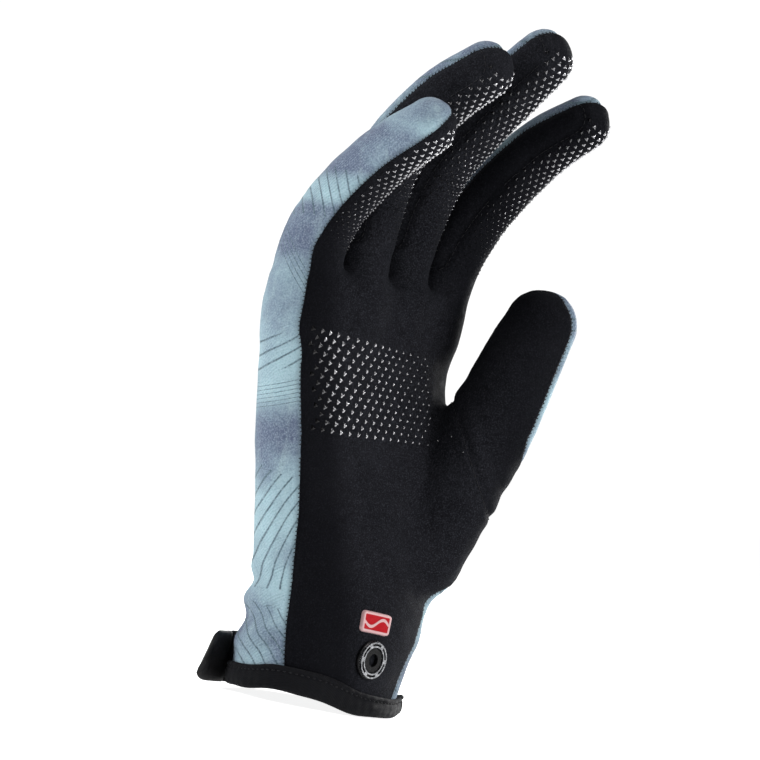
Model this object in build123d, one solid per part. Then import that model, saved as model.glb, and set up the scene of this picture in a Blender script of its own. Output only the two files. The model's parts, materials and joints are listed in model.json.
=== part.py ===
from build123d import *
import math
import os

# A right-hand sailing glove with a hand inside its rest shape: suede palm, knit back, a cuff with a hook-and-loop
# strap and a press stud. Millimetres. The origin is the centre of the wrist opening. +Z runs along the hand
# towards the fingertips, -Y comes out of the palm and +X points to the thumb side.

# ---- fabric and clearances
WALL = 1.3  # thickness of a fabric panel
LAP_WALL = 1.2  # thickness of the curved lap inside a knuckle
LAP_GAP = 0.4  # air between a lap and the wall that it slides in
LAP_WINDOW = 0.77  # radius of the way through a lap, as a share of the lap's inner radius
RIM_GAP = 0.4  # distance from a knuckle's axis to each rim that faces it
RIM_MARGIN = 1.5  # degrees kept in hand at each end of a knuckle's travel
PRINT_OUT = 0.4  # how far the silicone print stands out of the suede
PRINT_IN = 0.35  # how far it soaks in
PRINT_RIM = 0.7  # how far the print stays back from a rim
BIG = 400.0  # side of a half-space box

# ---- the hand: height, centre x, centre y, half width, half depth of each oval section
SECTIONS = [
    (-12, 0, 0.4, 31, 21),
    (0, 0, 0.4, 31, 21),
    (20, 0, 1.2, 33, 21),
    (36, 1, 2.2, 33.5, 19.5),
    (54, 1, 4.5, 35, 17.5),
    (72, 0, 6.6, 37.5, 17),
    (88, 0, 8.6, 38.8, 16.2),
    (104, 0, 11, 40.5, 15.5),
    (126.5, -0.5, 9.5, 41.0, 13.0),
]
HAND_BOTTOM = -1.6
SEAM_Y, SEAM_SLOPE = -11.5, 0.108  # the side seams lie in the plane y = SEAM_Y + SEAM_SLOPE z

# ---- fingers: knuckle, sideways lean, bend at each joint at rest, segment lengths, radius at each joint and
# at the tip, and the turn of the side seams about the finger
FINGERS = {
    "index": ((28.5, 7.0, 137.0), 3.0, (23, 17, 12), (24, 25, 20), (9.2, 9.2, 9.0, 8.2), 0),
    "middle": ((8.6, 9.0, 140.0), 1.0, (14, 24, 7), (28, 28, 22), (9.2, 9.2, 9.0, 8.2), 0),
    "ring": ((-10.8, 7.0, 139.0), -0.5, (6, 31, 15), (27, 25, 21), (9.1, 9.1, 8.9, 8.1), 0),
    "little": ((-29.7, 8.2, 132.5), -1.5, (16, 26, 12), (17, 22, 20), (9.2, 9.2, 8.8, 7.8), -40),
}
FINGER_SEAM = 0.3  # side seams of a finger, as a share of its radius behind its axis
STUB_FOOT = 115.0
SEGMENTS = ("base", "middle", "tip")
FINGER_TRAVEL = ((20, 45), (15, 50), (9, 30))  # degrees straighter and degrees more bent than at rest

# ---- thumb: a cone along the metacarpal, then two segments in one plane
THUMB_FOOT, THUMB_FOOT_R = (29.5, -3.8, 43.0), 15.0
THUMB_KNUCKLE = (38.3, -15.6, 91.0)
THUMB_END = (39.2, -26.9, 125.3)
THUMB_BENDS = (0, 0)
THUMB_LENGTHS = (22.0, 14.1)
THUMB_RADII = (13.2, 12.2, 11.2)
THUMB_CURL = (-0.92, -0.39, 0.0)  # the way the thumb bends
THUMB_TRAVEL = ((25, 25), (15, 45))

# ---- cuff
BINDING_OUT = 1.2
BINDING_LOW, BINDING_HIGH = -3.2, 3.3

# ---- press stud, on the palm side of the wrist
STUD_X, STUD_Z = 0.0, 13.8
STUD_FACE = -20.3  # the fabric's face there
STUD_R, RING_R, RING_HOLE_R, SOCKET_R, BORE_R = 6.1, 5.7, 4.1, 3.6, 2.0
BORE_DEPTH = 2.2
RIVET_R, RIVET_TOP = 1.1, -0.35  # the backing's rivet, seen at the bottom of the bore
RING_SLOTS = 6
SLOT_IN, SLOT_OUT, SPOKE = 4.55, 5.25, 1.3  # radii of the ring's slots, and the metal left between two slots

# ---- badge above the stud
BADGE_X, BADGE_Z, BADGE_WIDTH, BADGE_HEIGHT = -0.9, 25.0, 12.8, 7.6

# ---- wrist strap: angles about the wrist from +X towards +Y, and heights
STRAP_LOW, STRAP_HIGH = -3.0, 13.0
STRAP_IN, STRAP_OUT = 2.0, 3.6  # distance of the band's two faces from the fabric
ANCHOR_START, HINGE_ANGLE, TAB_ANGLE, TAB_END = 26, 40, 128, 152
HINGE_RELIEF, TAB_RELIEF = 0.95, 0.45  # cut back round each strap hinge, so that the bands clear when it opens
TAB_FLARE = 4.0
PATCH_LOW, PATCH_HIGH = 4.6, 12.4

PIECES = {}


def half_space(angle, gap):
    """Everything on the +Z side of a plane through the X axis, tipped by angle about X and moved off by gap."""
    return Rot(angle, 0, 0) * Pos(0, 0, BIG / 2 + gap) * Box(BIG, BIG, BIG)


def child_side(bend, travel, gap):
    """What lies beyond a knuckle, in the frame of the segment that starts there."""
    palm_tilt = (bend + travel[1]) / 2 + RIM_MARGIN
    back_tilt = (travel[0] - bend) / 2 + RIM_MARGIN
    return half_space(-palm_tilt, gap) & half_space(back_tilt, gap)


def parent_side(bend, travel, gap):
    """What lies before a knuckle, in a frame at the knuckle with +Z along the segment that ends there."""
    palm_tilt = (bend + travel[1]) / 2 + RIM_MARGIN
    back_tilt = (travel[0] - bend) / 2 + RIM_MARGIN
    flip = Rot(180, 0, 0)
    return (flip * half_space(-palm_tilt, gap).mirror(Plane.XZ)) & (
        flip * half_space(back_tilt, gap).mirror(Plane.XZ)
    )


def cone(low, high, r_low, r_high):
    height = high - low
    if abs(r_low - r_high) < 0.01:
        return Pos(0, 0, (low + high) / 2) * Cylinder(r_low, height)
    return Pos(0, 0, (low + high) / 2) * Cone(r_low, r_high, height)


def tapered(length, radii, inset, low, high):
    """A cone whose radius is radii[0] at 0 and radii[1] at length, less inset, from low to high."""
    slope = (radii[1] - radii[0]) / length
    return cone(low, high, radii[0] + slope * low - inset, radii[0] + slope * high - inset)


def segment(length, radii, near, far, seam, seam_turn, with_print):
    """One stall segment along +Z with its knuckle at the origin, split into palm, back and silicone print.

    near and far are (bend, travel) at the two knuckles. far is None on a tip segment, which ends in a dome.
    """
    lap_r = radii[0] - WALL - LAP_GAP
    bore_r = lap_r - LAP_WALL
    reach = 4.0
    top = length + reach if far else length
    region = child_side(near[0], near[1], RIM_GAP)
    print_region = child_side(near[0], near[1], RIM_GAP + PRINT_RIM)
    if far:
        region &= Pos(0, 0, length) * parent_side(far[0], far[1], RIM_GAP)
        print_region &= Pos(0, 0, length) * parent_side(far[0], far[1], RIM_GAP + PRINT_RIM)
    skin = tapered(length, radii, 0, -reach, top)
    hollow = tapered(length, radii, WALL, 8.0, top + 0.01)
    if not far:
        skin += Pos(0, 0, length) * Sphere(radii[1])
        hollow += Pos(0, 0, length) * Sphere(radii[1] - WALL)
    lap_window = Rot(180 - near[0], 0, 0) * cone(0, 30, bore_r * LAP_WINDOW, bore_r * LAP_WINDOW)
    whole = (skin & region) + Sphere(lap_r)
    whole = whole - hollow - cone(0, 8.01, bore_r, bore_r) - Sphere(bore_r) - lap_window
    seam_box = Rot(0, 0, -seam_turn) * Pos(0, seam * radii[0] + BIG / 2, 0) * Box(BIG, BIG, BIG)
    pieces = {"palm": whole - seam_box, "back": whole & seam_box}
    if with_print:
        band = tapered(length, radii, -PRINT_OUT, -reach, top) - tapered(length, radii, PRINT_IN, -reach - 1, top + 1)
        front = Pos(0, -BIG / 2 - 0.3 * radii[0], 0) * Box(1.24 * radii[0], BIG, BIG)
        pieces["grip"] = band & front & print_region
    return pieces


def hand_loft(inset, low, high):
    """The hand's oval tube, inset mm inside its outer face, cut to a height range."""
    ovals = [Pos(x, y, z) * Ellipse(a - inset, b - inset) for z, x, y, a, b in SECTIONS]
    body = loft(ovals)
    slab = Pos(0, 0, (low + high) / 2) * Box(BIG, BIG, high - low)
    return body & slab


def finger_frame(name):
    (x, y, z), lean, *_ = FINGERS[name]
    return Pos(x, y, z) * Rot(0, lean, 0)


def thumb_frame():
    """Origin at the thumb's knuckle, +Z towards its tip, -Y the way it curls."""
    along = (Vector(*THUMB_END) - Vector(*THUMB_KNUCKLE)).normalized()
    curl = Vector(*THUMB_CURL)
    curl = (curl - along * curl.dot(along)).normalized()
    hinge = (curl * -1).cross(along)
    return Plane(origin=THUMB_KNUCKLE, x_dir=hinge, z_dir=along).location


def add_stall(prefix, names, frame, bends, travels, lengths, radii, seam, seam_turn, with_print):
    place = frame
    for i, name in enumerate(names):
        place = place * Rot(bends[i], 0, 0)
        far = (bends[i + 1], travels[i + 1]) if i + 1 < len(names) else None
        parts = segment(
            lengths[i], radii[i : i + 2], (bends[i], travels[i]), far, seam, seam_turn, with_print
        )
        for side, solid in parts.items():
            PIECES[f"{prefix}_{name}_{side}"] = place * solid
        place = place * Pos(0, 0, lengths[i])


def add_fingers():
    for name, (_, _, bends, lengths, radii, turn) in FINGERS.items():
        add_stall(
            name, SEGMENTS, finger_frame(name), bends, FINGER_TRAVEL, lengths, radii, FINGER_SEAM, turn, True
        )


def add_thumb():
    add_stall(
        "thumb", ("base", "tip"), thumb_frame(), THUMB_BENDS, THUMB_TRAVEL, THUMB_LENGTHS, THUMB_RADII, 0.2, 0, False
    )


def thumb_mound(inset, beyond):
    """The fleshy base of the thumb, inset from its face, running on past the thumb's knuckle."""
    foot = Vector(*THUMB_FOOT)
    along = Vector(*THUMB_KNUCKLE) - foot
    column = Plane(origin=THUMB_FOOT, z_dir=along.normalized()).location
    radii = (THUMB_FOOT_R, THUMB_RADII[0])
    shaft = tapered(along.length, radii, inset, 0, along.length + beyond)
    return column * shaft + Pos(*THUMB_FOOT) * Sphere(THUMB_FOOT_R - inset)


def hand_solids():
    """Outer and inner solids of the hand, the four finger stubs and the thumb's metacarpal."""
    outer = hand_loft(0, HAND_BOTTOM, 126.5)
    inner = hand_loft(WALL, -11.9, 126.5 - WALL)
    for name, (knuckle, _, bends, _, radii, _) in FINGERS.items():
        drop = knuckle[2] - STUB_FOOT
        frame = finger_frame(name)
        stub = cone(-drop, 5, radii[0], radii[0]) & parent_side(bends[0], FINGER_TRAVEL[0], RIM_GAP)
        outer += frame * stub
        inner += frame * cone(-drop, 8, radii[0] - WALL, radii[0] - WALL)
    knuckle = thumb_frame()
    rim = parent_side(THUMB_BENDS[0], THUMB_TRAVEL[0], RIM_GAP)
    outer += thumb_mound(0, 4) & (knuckle * rim)
    inner += thumb_mound(WALL, 8)
    return outer, inner


def add_hand():
    outer, inner = hand_solids()
    shell = outer - inner
    tilt = math.degrees(math.atan(SEAM_SLOPE))
    back_half = Pos(0, SEAM_Y, 0) * Rot(-tilt, 0, 0) * Pos(0, BIG / 2, 0) * Box(BIG, BIG, BIG)
    thumb_side = thumb_mound(-0.4, 6) & Pos(0, 0, THUMB_FOOT[2] + BIG / 2 - THUMB_FOOT_R) * Box(BIG, BIG, BIG)
    thumb_part = shell & thumb_side
    rest = shell - thumb_side
    PIECES["palm_panel"] = rest - back_half
    PIECES["back_panel"] = rest & back_half
    PIECES["thumb_gusset_palm"] = thumb_part - back_half
    PIECES["thumb_gusset_back"] = thumb_part & back_half
    ring = hand_loft(-BINDING_OUT, BINDING_LOW, BINDING_HIGH) - hand_loft(WALL + BINDING_OUT, -11, 11)
    ring = fillet(ring.edges(), 1.1)
    PIECES["cuff_binding"] = ring - (hand_loft(0, HAND_BOTTOM, 20) - hand_loft(WALL, -11.9, 21))
    band = hand_loft(-PRINT_OUT, 76, 108) - hand_loft(PRINT_IN, 70, 120)
    front = Pos(-7, -BIG / 2 + 2, 92) * Rot(0, -6, 0) * Box(42, BIG, 30)
    PIECES["palm_grip_print"] = band & front


def add_badge():
    plate = hand_loft(-0.9, 15, 34) - hand_loft(0.3, 14, 35)
    block = Pos(BADGE_X, -BIG / 4, BADGE_Z) * Box(BADGE_WIDTH, BIG / 2, BADGE_HEIGHT)
    PIECES["badge"] = plate & block


def disc(r, low, high):
    """A disc about the stud's axis. low and high are measured out from the fabric's face."""
    return Pos(STUD_X, STUD_FACE - (low + high) / 2, STUD_Z) * Rot(90, 0, 0) * Cylinder(r, high - low)


def add_stud():
    base = disc(STUD_R, -0.4, 1.5)
    base = fillet(base.edges().sort_by(Axis.Y)[0:1], 0.5)
    PIECES["stud_base"] = base - disc(SOCKET_R, -1, 3)
    ring = disc(RING_R, 1.5, 2.3) - disc(RING_HOLE_R, 1, 3)
    slots = disc(SLOT_OUT, 1, 3) - disc(SLOT_IN, 0.5, 3.5)
    for i in range(RING_SLOTS):
        turn = 360 / RING_SLOTS * (i + 0.5)
        spoke = Pos(STUD_X, STUD_FACE - 2, STUD_Z) * Rot(0, turn, 0) * Pos(0, 0, RING_R / 2)
        slots -= spoke * Box(SPOKE, 4, RING_R)
    PIECES["stud_ring"] = ring - slots
    cup = disc(SOCKET_R, -0.4, 2.0)
    PIECES["stud_socket"] = cup - disc(BORE_R, 2.0 - BORE_DEPTH, 3) - disc(RIVET_R + 0.1, -1, 0)
    back_face = -WALL - 1.4
    PIECES["stud_backing"] = disc(5.6, back_face - 0.9, back_face) + disc(RIVET_R, back_face, RIVET_TOP)


def wrist_point(angle, out):
    """A point of the wrist's oval at an angle, moved out from the fabric."""
    t = math.radians(angle)
    _, x, y, a, b = SECTIONS[1]
    return (x + (a + out) * math.cos(t), y + (b + out) * math.sin(t))


def wrist_band(start, end, inside, outside, low, high, flare=0.0):
    """A curved plate round the wrist between two angles. flare moves its far end further out."""
    count = 7
    steps = [start + (end - start) * i / (count - 1) for i in range(count)]
    lift = [flare * (i / (count - 1)) ** 2 for i in range(count)]
    inner = [wrist_point(t, inside + f) for t, f in zip(steps, lift)]
    outer = [wrist_point(t, outside + f) for t, f in zip(steps, lift)]
    outline = Spline(*inner) + Line(inner[-1], outer[-1]) + Spline(*outer[::-1]) + Line(outer[0], inner[0])
    return Pos(0, 0, low) * extrude(make_face(outline), high - low)


def add_strap():
    middle = (STRAP_IN + STRAP_OUT) / 2
    thick = STRAP_OUT - STRAP_IN
    height = STRAP_HIGH - STRAP_LOW

    def rod(angle, r):
        x, y = wrist_point(angle, middle)
        return Pos(x, y, (STRAP_LOW + STRAP_HIGH) / 2) * Cylinder(r, height + 2 * (r > thick / 2 + 0.01))

    anchor = wrist_band(ANCHOR_START, HINGE_ANGLE, 1.4, STRAP_OUT, STRAP_LOW, STRAP_HIGH)
    foot = wrist_band(ANCHOR_START, HINGE_ANGLE - 6, -0.3, 1.5, PATCH_LOW, STRAP_HIGH)
    PIECES["strap_anchor"] = (anchor - rod(HINGE_ANGLE, thick / 2 + HINGE_RELIEF)) + foot
    band = wrist_band(HINGE_ANGLE, TAB_ANGLE, STRAP_IN, STRAP_OUT, STRAP_LOW, STRAP_HIGH)
    PIECES["strap_band"] = (band - rod(TAB_ANGLE, thick / 2 + TAB_RELIEF)) + rod(HINGE_ANGLE, thick / 2)
    tab = wrist_band(TAB_ANGLE, TAB_END, STRAP_IN, STRAP_OUT, STRAP_LOW, STRAP_HIGH, TAB_FLARE)
    PIECES["pull_tab"] = tab + rod(TAB_ANGLE, thick / 2)
    PIECES["hook_patch"] = wrist_band(70, 118, 1.3, 2.1, PATCH_LOW, PATCH_HIGH)
    PIECES["loop_patch"] = wrist_band(58, 122, -0.4, 0.9, PATCH_LOW, PATCH_HIGH)


def main():
    add_hand()
    add_badge()
    add_stud()
    add_strap()
    add_fingers()
    add_thumb()
    os.makedirs("parts", exist_ok=True)
    for name, solid in PIECES.items():
        export_step(solid, f"parts/{name}.step")
        print(name, len(solid.solids()), round(solid.volume, 1))


main()
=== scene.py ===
import json
import math

import bpy
import numpy as np
from mathutils import Matrix, Vector


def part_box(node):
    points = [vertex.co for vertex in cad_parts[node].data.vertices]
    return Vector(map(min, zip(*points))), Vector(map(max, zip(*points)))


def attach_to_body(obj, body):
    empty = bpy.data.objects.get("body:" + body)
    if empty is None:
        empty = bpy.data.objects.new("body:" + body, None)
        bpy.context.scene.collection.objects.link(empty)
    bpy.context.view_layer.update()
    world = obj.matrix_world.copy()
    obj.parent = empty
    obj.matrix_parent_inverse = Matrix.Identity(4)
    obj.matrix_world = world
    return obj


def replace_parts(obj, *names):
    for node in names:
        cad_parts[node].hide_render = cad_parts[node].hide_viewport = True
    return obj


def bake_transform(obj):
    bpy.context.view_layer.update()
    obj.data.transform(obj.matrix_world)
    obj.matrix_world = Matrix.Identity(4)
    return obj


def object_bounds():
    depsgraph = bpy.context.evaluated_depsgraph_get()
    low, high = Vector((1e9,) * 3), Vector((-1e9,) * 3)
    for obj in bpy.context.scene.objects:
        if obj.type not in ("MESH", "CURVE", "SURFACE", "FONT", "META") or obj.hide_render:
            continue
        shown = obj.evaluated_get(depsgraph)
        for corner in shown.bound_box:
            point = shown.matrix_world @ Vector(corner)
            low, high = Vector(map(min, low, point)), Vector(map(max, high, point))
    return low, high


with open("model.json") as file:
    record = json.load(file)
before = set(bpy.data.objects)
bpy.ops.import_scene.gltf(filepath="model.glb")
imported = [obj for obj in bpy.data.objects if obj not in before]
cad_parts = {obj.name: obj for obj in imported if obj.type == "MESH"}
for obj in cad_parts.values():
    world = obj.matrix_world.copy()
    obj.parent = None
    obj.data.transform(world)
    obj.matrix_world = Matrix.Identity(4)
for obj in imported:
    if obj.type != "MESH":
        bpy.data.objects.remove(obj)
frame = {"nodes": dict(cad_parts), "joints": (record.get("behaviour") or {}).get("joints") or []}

# Everything below is worked out in millimetres and turned into metres where a mesh is made.
MM = 0.001
CAD_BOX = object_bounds()
GRID = 1.3
CLOTH = 1.15
FAR = 40.0  # stands for the distance to anything that is not near
FINGERS = ("index", "middle", "ring", "little")
SEGMENTS = {name: ("base", "middle", "tip") for name in FINGERS} | {"thumb": ("base", "tip")}
JOINTS = {j["name"]: j for j in frame["joints"]}

# for each finger: bend of the tip segment, its length, half widths at the joints and end, sides with a strip
SHAPE = {
    "index": (14, 19.6, (9.2, 9.1, 8.7, 7.6), (-1,)),
    "middle": (6, 23.2, (9.2, 9.4, 9.1, 8.2), (-1, 1)),
    "ring": (17, 20.4, (9.1, 9.0, 8.6, 7.7), (-1, 1)),
    "little": (13, 19.8, (9.6, 8.9, 8.5, 7.6), (1,)),
}
# how far the back of the hand carries a finger's knuckles off their hinges, at the first two joints
CARRIED = {"little": ((-1.3, 1.7, 0.0), (-0.2, 0.1, 0.0)), "ring": ((-0.4, 0.8, 0.0), (0.0, 0.2, 0.0))}
DEPTH = 1.14  # how much deeper than wide a finger is
LINE_STEPS = 6  # steps between two points of a stall's line
# slope and lift of the seam along each finger, as shares of the finger's radius
BACK_LINE = {"index": (0.0, 0.45), "middle": (0.0, 0.45), "ring": (0.0, 0.45), "little": (0.7, -0.149)}
# the hand without its fingers: height, centre x and y, half width and half depth
SECTIONS = np.array([
    (-12, 0.4, 0, 30.4, 20.4), (0, 0.4, 0, 30.4, 20.4), (10, 0.8, 0, 31.4, 20.8),
    (20, 2.0, -0.6, 32.6, 20.5), (30, 3.4, -0.3, 33.4, 20.0), (42, 2.6, 1.6, 33.8, 18.6),
    (54, 1.4, 3.9, 34.5, 17.1), (72, 0, 6.2, 36.8, 16.0), (88, -0.6, 8.1, 37.8, 15.0),
    (104, -1.3, 10.3, 38.6, 14.2), (116, -1.6, 10.8, 39.4, 13.9), (127, -1.4, 9.9, 39.4, 12.6),
    (140, -1.2, 8.8, 38.0, 10.6),
])
SQUARENESS = ((0, 40, 90, 130), (2.1, 2.25, 2.5, 2.7))  # power of the sections' outline at each height
HAND_TOP = 128.5
TOP_ROUND, TOP_REACH = 0.09, 5
HOLLOW = 1.6
# how softly a finger runs into the next one, the fingers into the hand, and the thumb into the hand
FINGER_BLEND, KNUCKLE_BLEND, THUMB_BLEND = 0.8, 4.0, 6.5
# the seam between palm and back: its height at the cuff and slope, and how far it moves off that line between
# two fingers, along the thumb side, at the cuff, above the thumb, by the little finger and in a crotch
SEAM_Y, SEAM_SLOPE = -11.5, 0.108
WEB_MOVE, RADIAL_MOVE, CUFF_MOVE, INNER_MOVE, ULNAR_MOVE, CROTCH_MOVE = 11.0, 4.6, 1.9, 7.5, 1.7, 5.0
STRIP_EDGE = 0.86  # share of a finger's radius at which the strip along its side starts
CUT_SHARE = 0.52  # share of a segment at which its cloth is cut from the next segment's
THUMB_FOOT = np.array((30.2, -4.4, 47.5))
THUMB_END = np.array((39.2, -26.9, 125.3))
THUMB_RADII = (14.6, 14.1, 12.8, 11.4)
THUMB_REACH = ((6.5, 8), (6.5, 6.5))  # how far the cloth bends before and past each thumb joint
WEB_WAY = np.array((0.1, -0.75, 0.65))
# the photograph's sideways direction
VIEW_X, VIEW_Y = 0.669, -0.743


def unit(v):
    v = np.asarray(v, float)
    return v / np.linalg.norm(v)


def joint_point(name):
    return np.array(JOINTS[name]["pos_m"], float) * 1000


def joint_axis(name):
    return unit(JOINTS[name]["axis"])


def knuckles(name):
    return [joint_point(f"{name}_{part}_bend") for part in SEGMENTS[name]]


def turned(v, axis, degrees):
    return np.array(Matrix.Rotation(math.radians(degrees), 3, Vector(axis)) @ Vector(v))


def smoothstep(t):
    t = np.clip(t, 0, 1)
    return t * t * (3 - 2 * t)


def above(v, start, over):
    """0 below start, 1 once over past it."""
    return smoothstep((v - start) / over)


def below(v, start, over):
    """0 above start, 1 once over short of it."""
    return smoothstep((start - v) / over)


def hump(v, centre, width, power=2):
    """1 at the centre, fading to nothing on both sides."""
    return np.exp(-(((v - centre) / width) ** power))


def length_of(v):
    """Lengths of the rows of v, as a column."""
    return np.linalg.norm(v, axis=1)[:, None]


def soft_min(a, b, k):
    h = np.clip(0.5 + 0.5 * (b - a) / k, 0, 1)
    return b + (a - b) * h - k * h * (1 - h)


def rounded_line(points, count):
    """Catmull-Rom line through points, count steps a span."""
    p = np.array(points, float)
    p = np.vstack([2 * p[0] - p[1], p, 2 * p[-1] - p[-2]])
    out = []
    for i in range(1, len(p) - 2):
        a, b, c, d = p[i - 1 : i + 3]
        for t in np.linspace(0, 1, count, endpoint=False):
            square, cube = 2 * a - 5 * b + 4 * c - d, 3 * b - a - 3 * c + d
            out.append(0.5 * (2 * b + (c - a) * t + square * t**2 + cube * t**3))
    out.append(p[-2])
    return np.array(out)


class Stall:
    """A finger or thumb: a bent tube round a line, with coordinates along, across and behind the line."""

    def __init__(self, points, radii, side, depth, zero):
        self.line = rounded_line(points, LINE_STEPS)
        steps = np.linspace(0, len(points) - 1, len(self.line))
        self.radii = np.interp(steps, range(len(points)), radii)
        self.side = unit(side)
        self.depth = depth
        runs = np.linalg.norm(np.diff(self.line, axis=0), axis=1)
        self.along = np.concatenate([[0], np.cumsum(runs)])
        self.along -= self.along[LINE_STEPS * zero]
        self.length = self.along[-1]
        room = 1.3 * max(radii) + 9
        self.low, self.high = self.line.min(0) - room, self.line.max(0) + room

    def local(self, p):
        """Distance to the tube, place along the line, and across, behind and radius there."""
        best = np.full(len(p), 1e9)
        out = np.zeros((4, len(p)))
        for i in range(len(self.line) - 1):
            a, b = self.line[i], self.line[i + 1]
            run = np.linalg.norm(b - a)
            t = (b - a) / run
            n = unit(np.cross(t, self.side))
            rel = p - a
            h = np.clip(rel @ t / run, 0, 1)
            rel = rel - np.outer(h * run, t)
            u, w, v = rel @ self.side, rel @ n, rel @ t
            r = self.radii[i] + (self.radii[i + 1] - self.radii[i]) * h
            d = np.sqrt(u * u + (w / self.depth) ** 2 + v * v) - r
            near = d < best
            best = np.where(near, d, best)
            now = (self.along[i] + h * run + v * (h >= 1), u, w / self.depth, r)
            for k in range(4):
                out[k] = np.where(near, now[k], out[k])
        return best, out[0], out[1], out[2], out[3]

    def distance(self, p):
        d = np.full(len(p), FAR)
        near = np.all((p > self.low) & (p < self.high), axis=1)
        if near.any():
            d[near] = self.local(p[near])[0]
        return d


def make_stalls():
    stalls = {}
    for name, (bend, length, radii, _) in SHAPE.items():
        points = knuckles(name)
        axis = joint_axis(f"{name}_base_bend")
        way = turned(unit(points[2] - points[1]), axis, bend)
        for k, shift in enumerate(CARRIED.get(name, ())):
            points[k] = points[k] + np.array(shift)
        root = points[0] - np.array((1.8, -0.6, 22.0) if name == "index" else (0, 1.0, 22.0))
        points = [root] + points + [points[2] + way * length]
        stalls[name] = Stall(points, (radii[0],) + radii, axis, DEPTH, 1)
    knuckle, tip = joint_point("thumb_base_spread"), joint_point("thumb_tip_bend")
    points = [THUMB_FOOT, knuckle, tip, THUMB_END]
    stalls["thumb"] = Stall(points, THUMB_RADII, -joint_axis("thumb_base_spread"), 1.0, 1)
    return stalls


STALLS = make_stalls()


def palm_body(p):
    """Distance to the hand without fingers or thumb: rounded-box sections, hollow in the palm."""
    z = p[:, 2]
    cx, cy, a, b = (np.interp(z, SECTIONS[:, 0], SECTIONS[:, i]) for i in (1, 2, 3, 4))
    x, y = p[:, 0] - cx, p[:, 1] - cy
    power = np.interp(z, *SQUARENESS)
    q = (np.abs(x / a) ** power + np.abs(y / b) ** power) ** (1 / power) + 1e-6
    d = np.hypot(x, y) * (1 - 1 / q)
    hollow = np.exp(-((x + 2) / 15) ** 2 - ((z - 84) / 26) ** 2) * smoothstep(-y / 8)
    d = d + HOLLOW * hollow
    top = z - HAND_TOP
    near = (d > -TOP_REACH) & (top > -TOP_REACH)
    rounding = TOP_ROUND * np.maximum(0, d + TOP_REACH) * np.maximum(0, top + TOP_REACH)
    return np.maximum(d, top) + np.where(near, rounding, 0)


def glove(p):
    """Distance to the glove's outer face, in mm."""
    body = palm_body(p)
    thumb = STALLS["thumb"].distance(p)
    body = soft_min(body, thumb, THUMB_BLEND)
    fingers = np.full(len(p), FAR)
    for name in FINGERS:
        fingers = soft_min(fingers, STALLS[name].distance(p), FINGER_BLEND)
    return soft_min(body, fingers, KNUCKLE_BLEND)


def normals(p):
    """Outward ways at points, and how fast the distance grows there."""
    e = 0.35
    g = np.stack([glove(p + np.eye(3)[i] * e) - glove(p - np.eye(3)[i] * e) for i in range(3)], 1) / (2 * e)
    size = length_of(g) + 1e-9
    return g / size, size[:, 0]


def onto_glove(p, most):
    """Points moved onto the glove's face, each by most mm at the most."""
    n, size = normals(p)
    return p - n * np.clip(glove(p) / size, -most, most)[:, None]


def surface():
    """Surface nets over a grid, then each point moved onto the glove's face. Gives points and triangles."""
    low, high = np.array((-45.0, -64.0, -8.0)), np.array((58.0, 32.0, 222.0))
    count = np.ceil((high - low) / GRID).astype(int) + 1
    axes = [low[i] + GRID * np.arange(count[i]) for i in range(3)]
    x, y, z = np.meshgrid(*axes, indexing="ij")
    f = glove(np.stack([x.ravel(), y.ravel(), z.ravel()], 1)).reshape(x.shape)
    inside = f < 0
    shape = np.array(f.shape) - 1
    centre, crossings = np.zeros((*shape, 3)), np.zeros(shape)
    corners = [(i, j, k) for i in (0, 1) for j in (0, 1) for k in (0, 1)]

    def at(o):
        return tuple(slice(o[i], shape[i] + o[i]) for i in range(3))

    for axis in range(3):
        for o in corners:
            if o[axis]:
                continue
            o2 = tuple(1 if i == axis else o[i] for i in range(3))
            f0, f1 = f[at(o)], f[at(o2)]
            cross = (f0 < 0) != (f1 < 0)
            t = np.where(cross, f0 / np.where(cross, f0 - f1, 1), 0)
            for i in range(3):
                centre[..., i] += np.where(cross, t if i == axis else o[i], 0)
            crossings += cross
    active = crossings > 0
    index = np.full(active.shape, -1)
    index[active] = np.arange(active.sum())
    points = low + GRID * (np.argwhere(active) + centre[active] / crossings[active][:, None])
    quads = []
    for axis in range(3):
        b, d = (axis + 1) % 3, (axis + 2) % 3
        first = [slice(1, n - 1) for n in f.shape]
        first[axis] = slice(0, f.shape[axis] - 1)
        second = list(first)
        second[axis] = slice(1, f.shape[axis])
        in0, in1 = inside[tuple(first)], inside[tuple(second)]
        cells = np.argwhere(in0 != in1)
        shift = np.array([1, 1, 1])
        shift[axis] = 0
        base = cells + shift

        def cell(db, dd):
            q = base.copy()
            q[:, b] += db
            q[:, d] += dd
            return index[q[:, 0], q[:, 1], q[:, 2]]

        quad = np.stack([cell(-1, -1), cell(0, -1), cell(0, 0), cell(-1, 0)], 1)
        flip = in1[tuple(cells.T)]
        quad[flip] = quad[flip][:, ::-1]
        quads.append(quad)
    quads = np.vstack(quads)
    for _ in range(3):
        total, hits = np.zeros_like(points), np.zeros(len(points))
        for i in range(4):
            for j in (i, (i + 1) % 4, (i + 3) % 4):
                np.add.at(total, quads[:, i], points[quads[:, j]])
                np.add.at(hits, quads[:, i], 1)
        points = onto_glove(0.5 * points + 0.5 * total / hits[:, None], 0.8)
    tris = np.vstack([quads[:, [0, 1, 2]], quads[:, [0, 2, 3]]])
    return onto_glove(points, 0.8), tris


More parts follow.
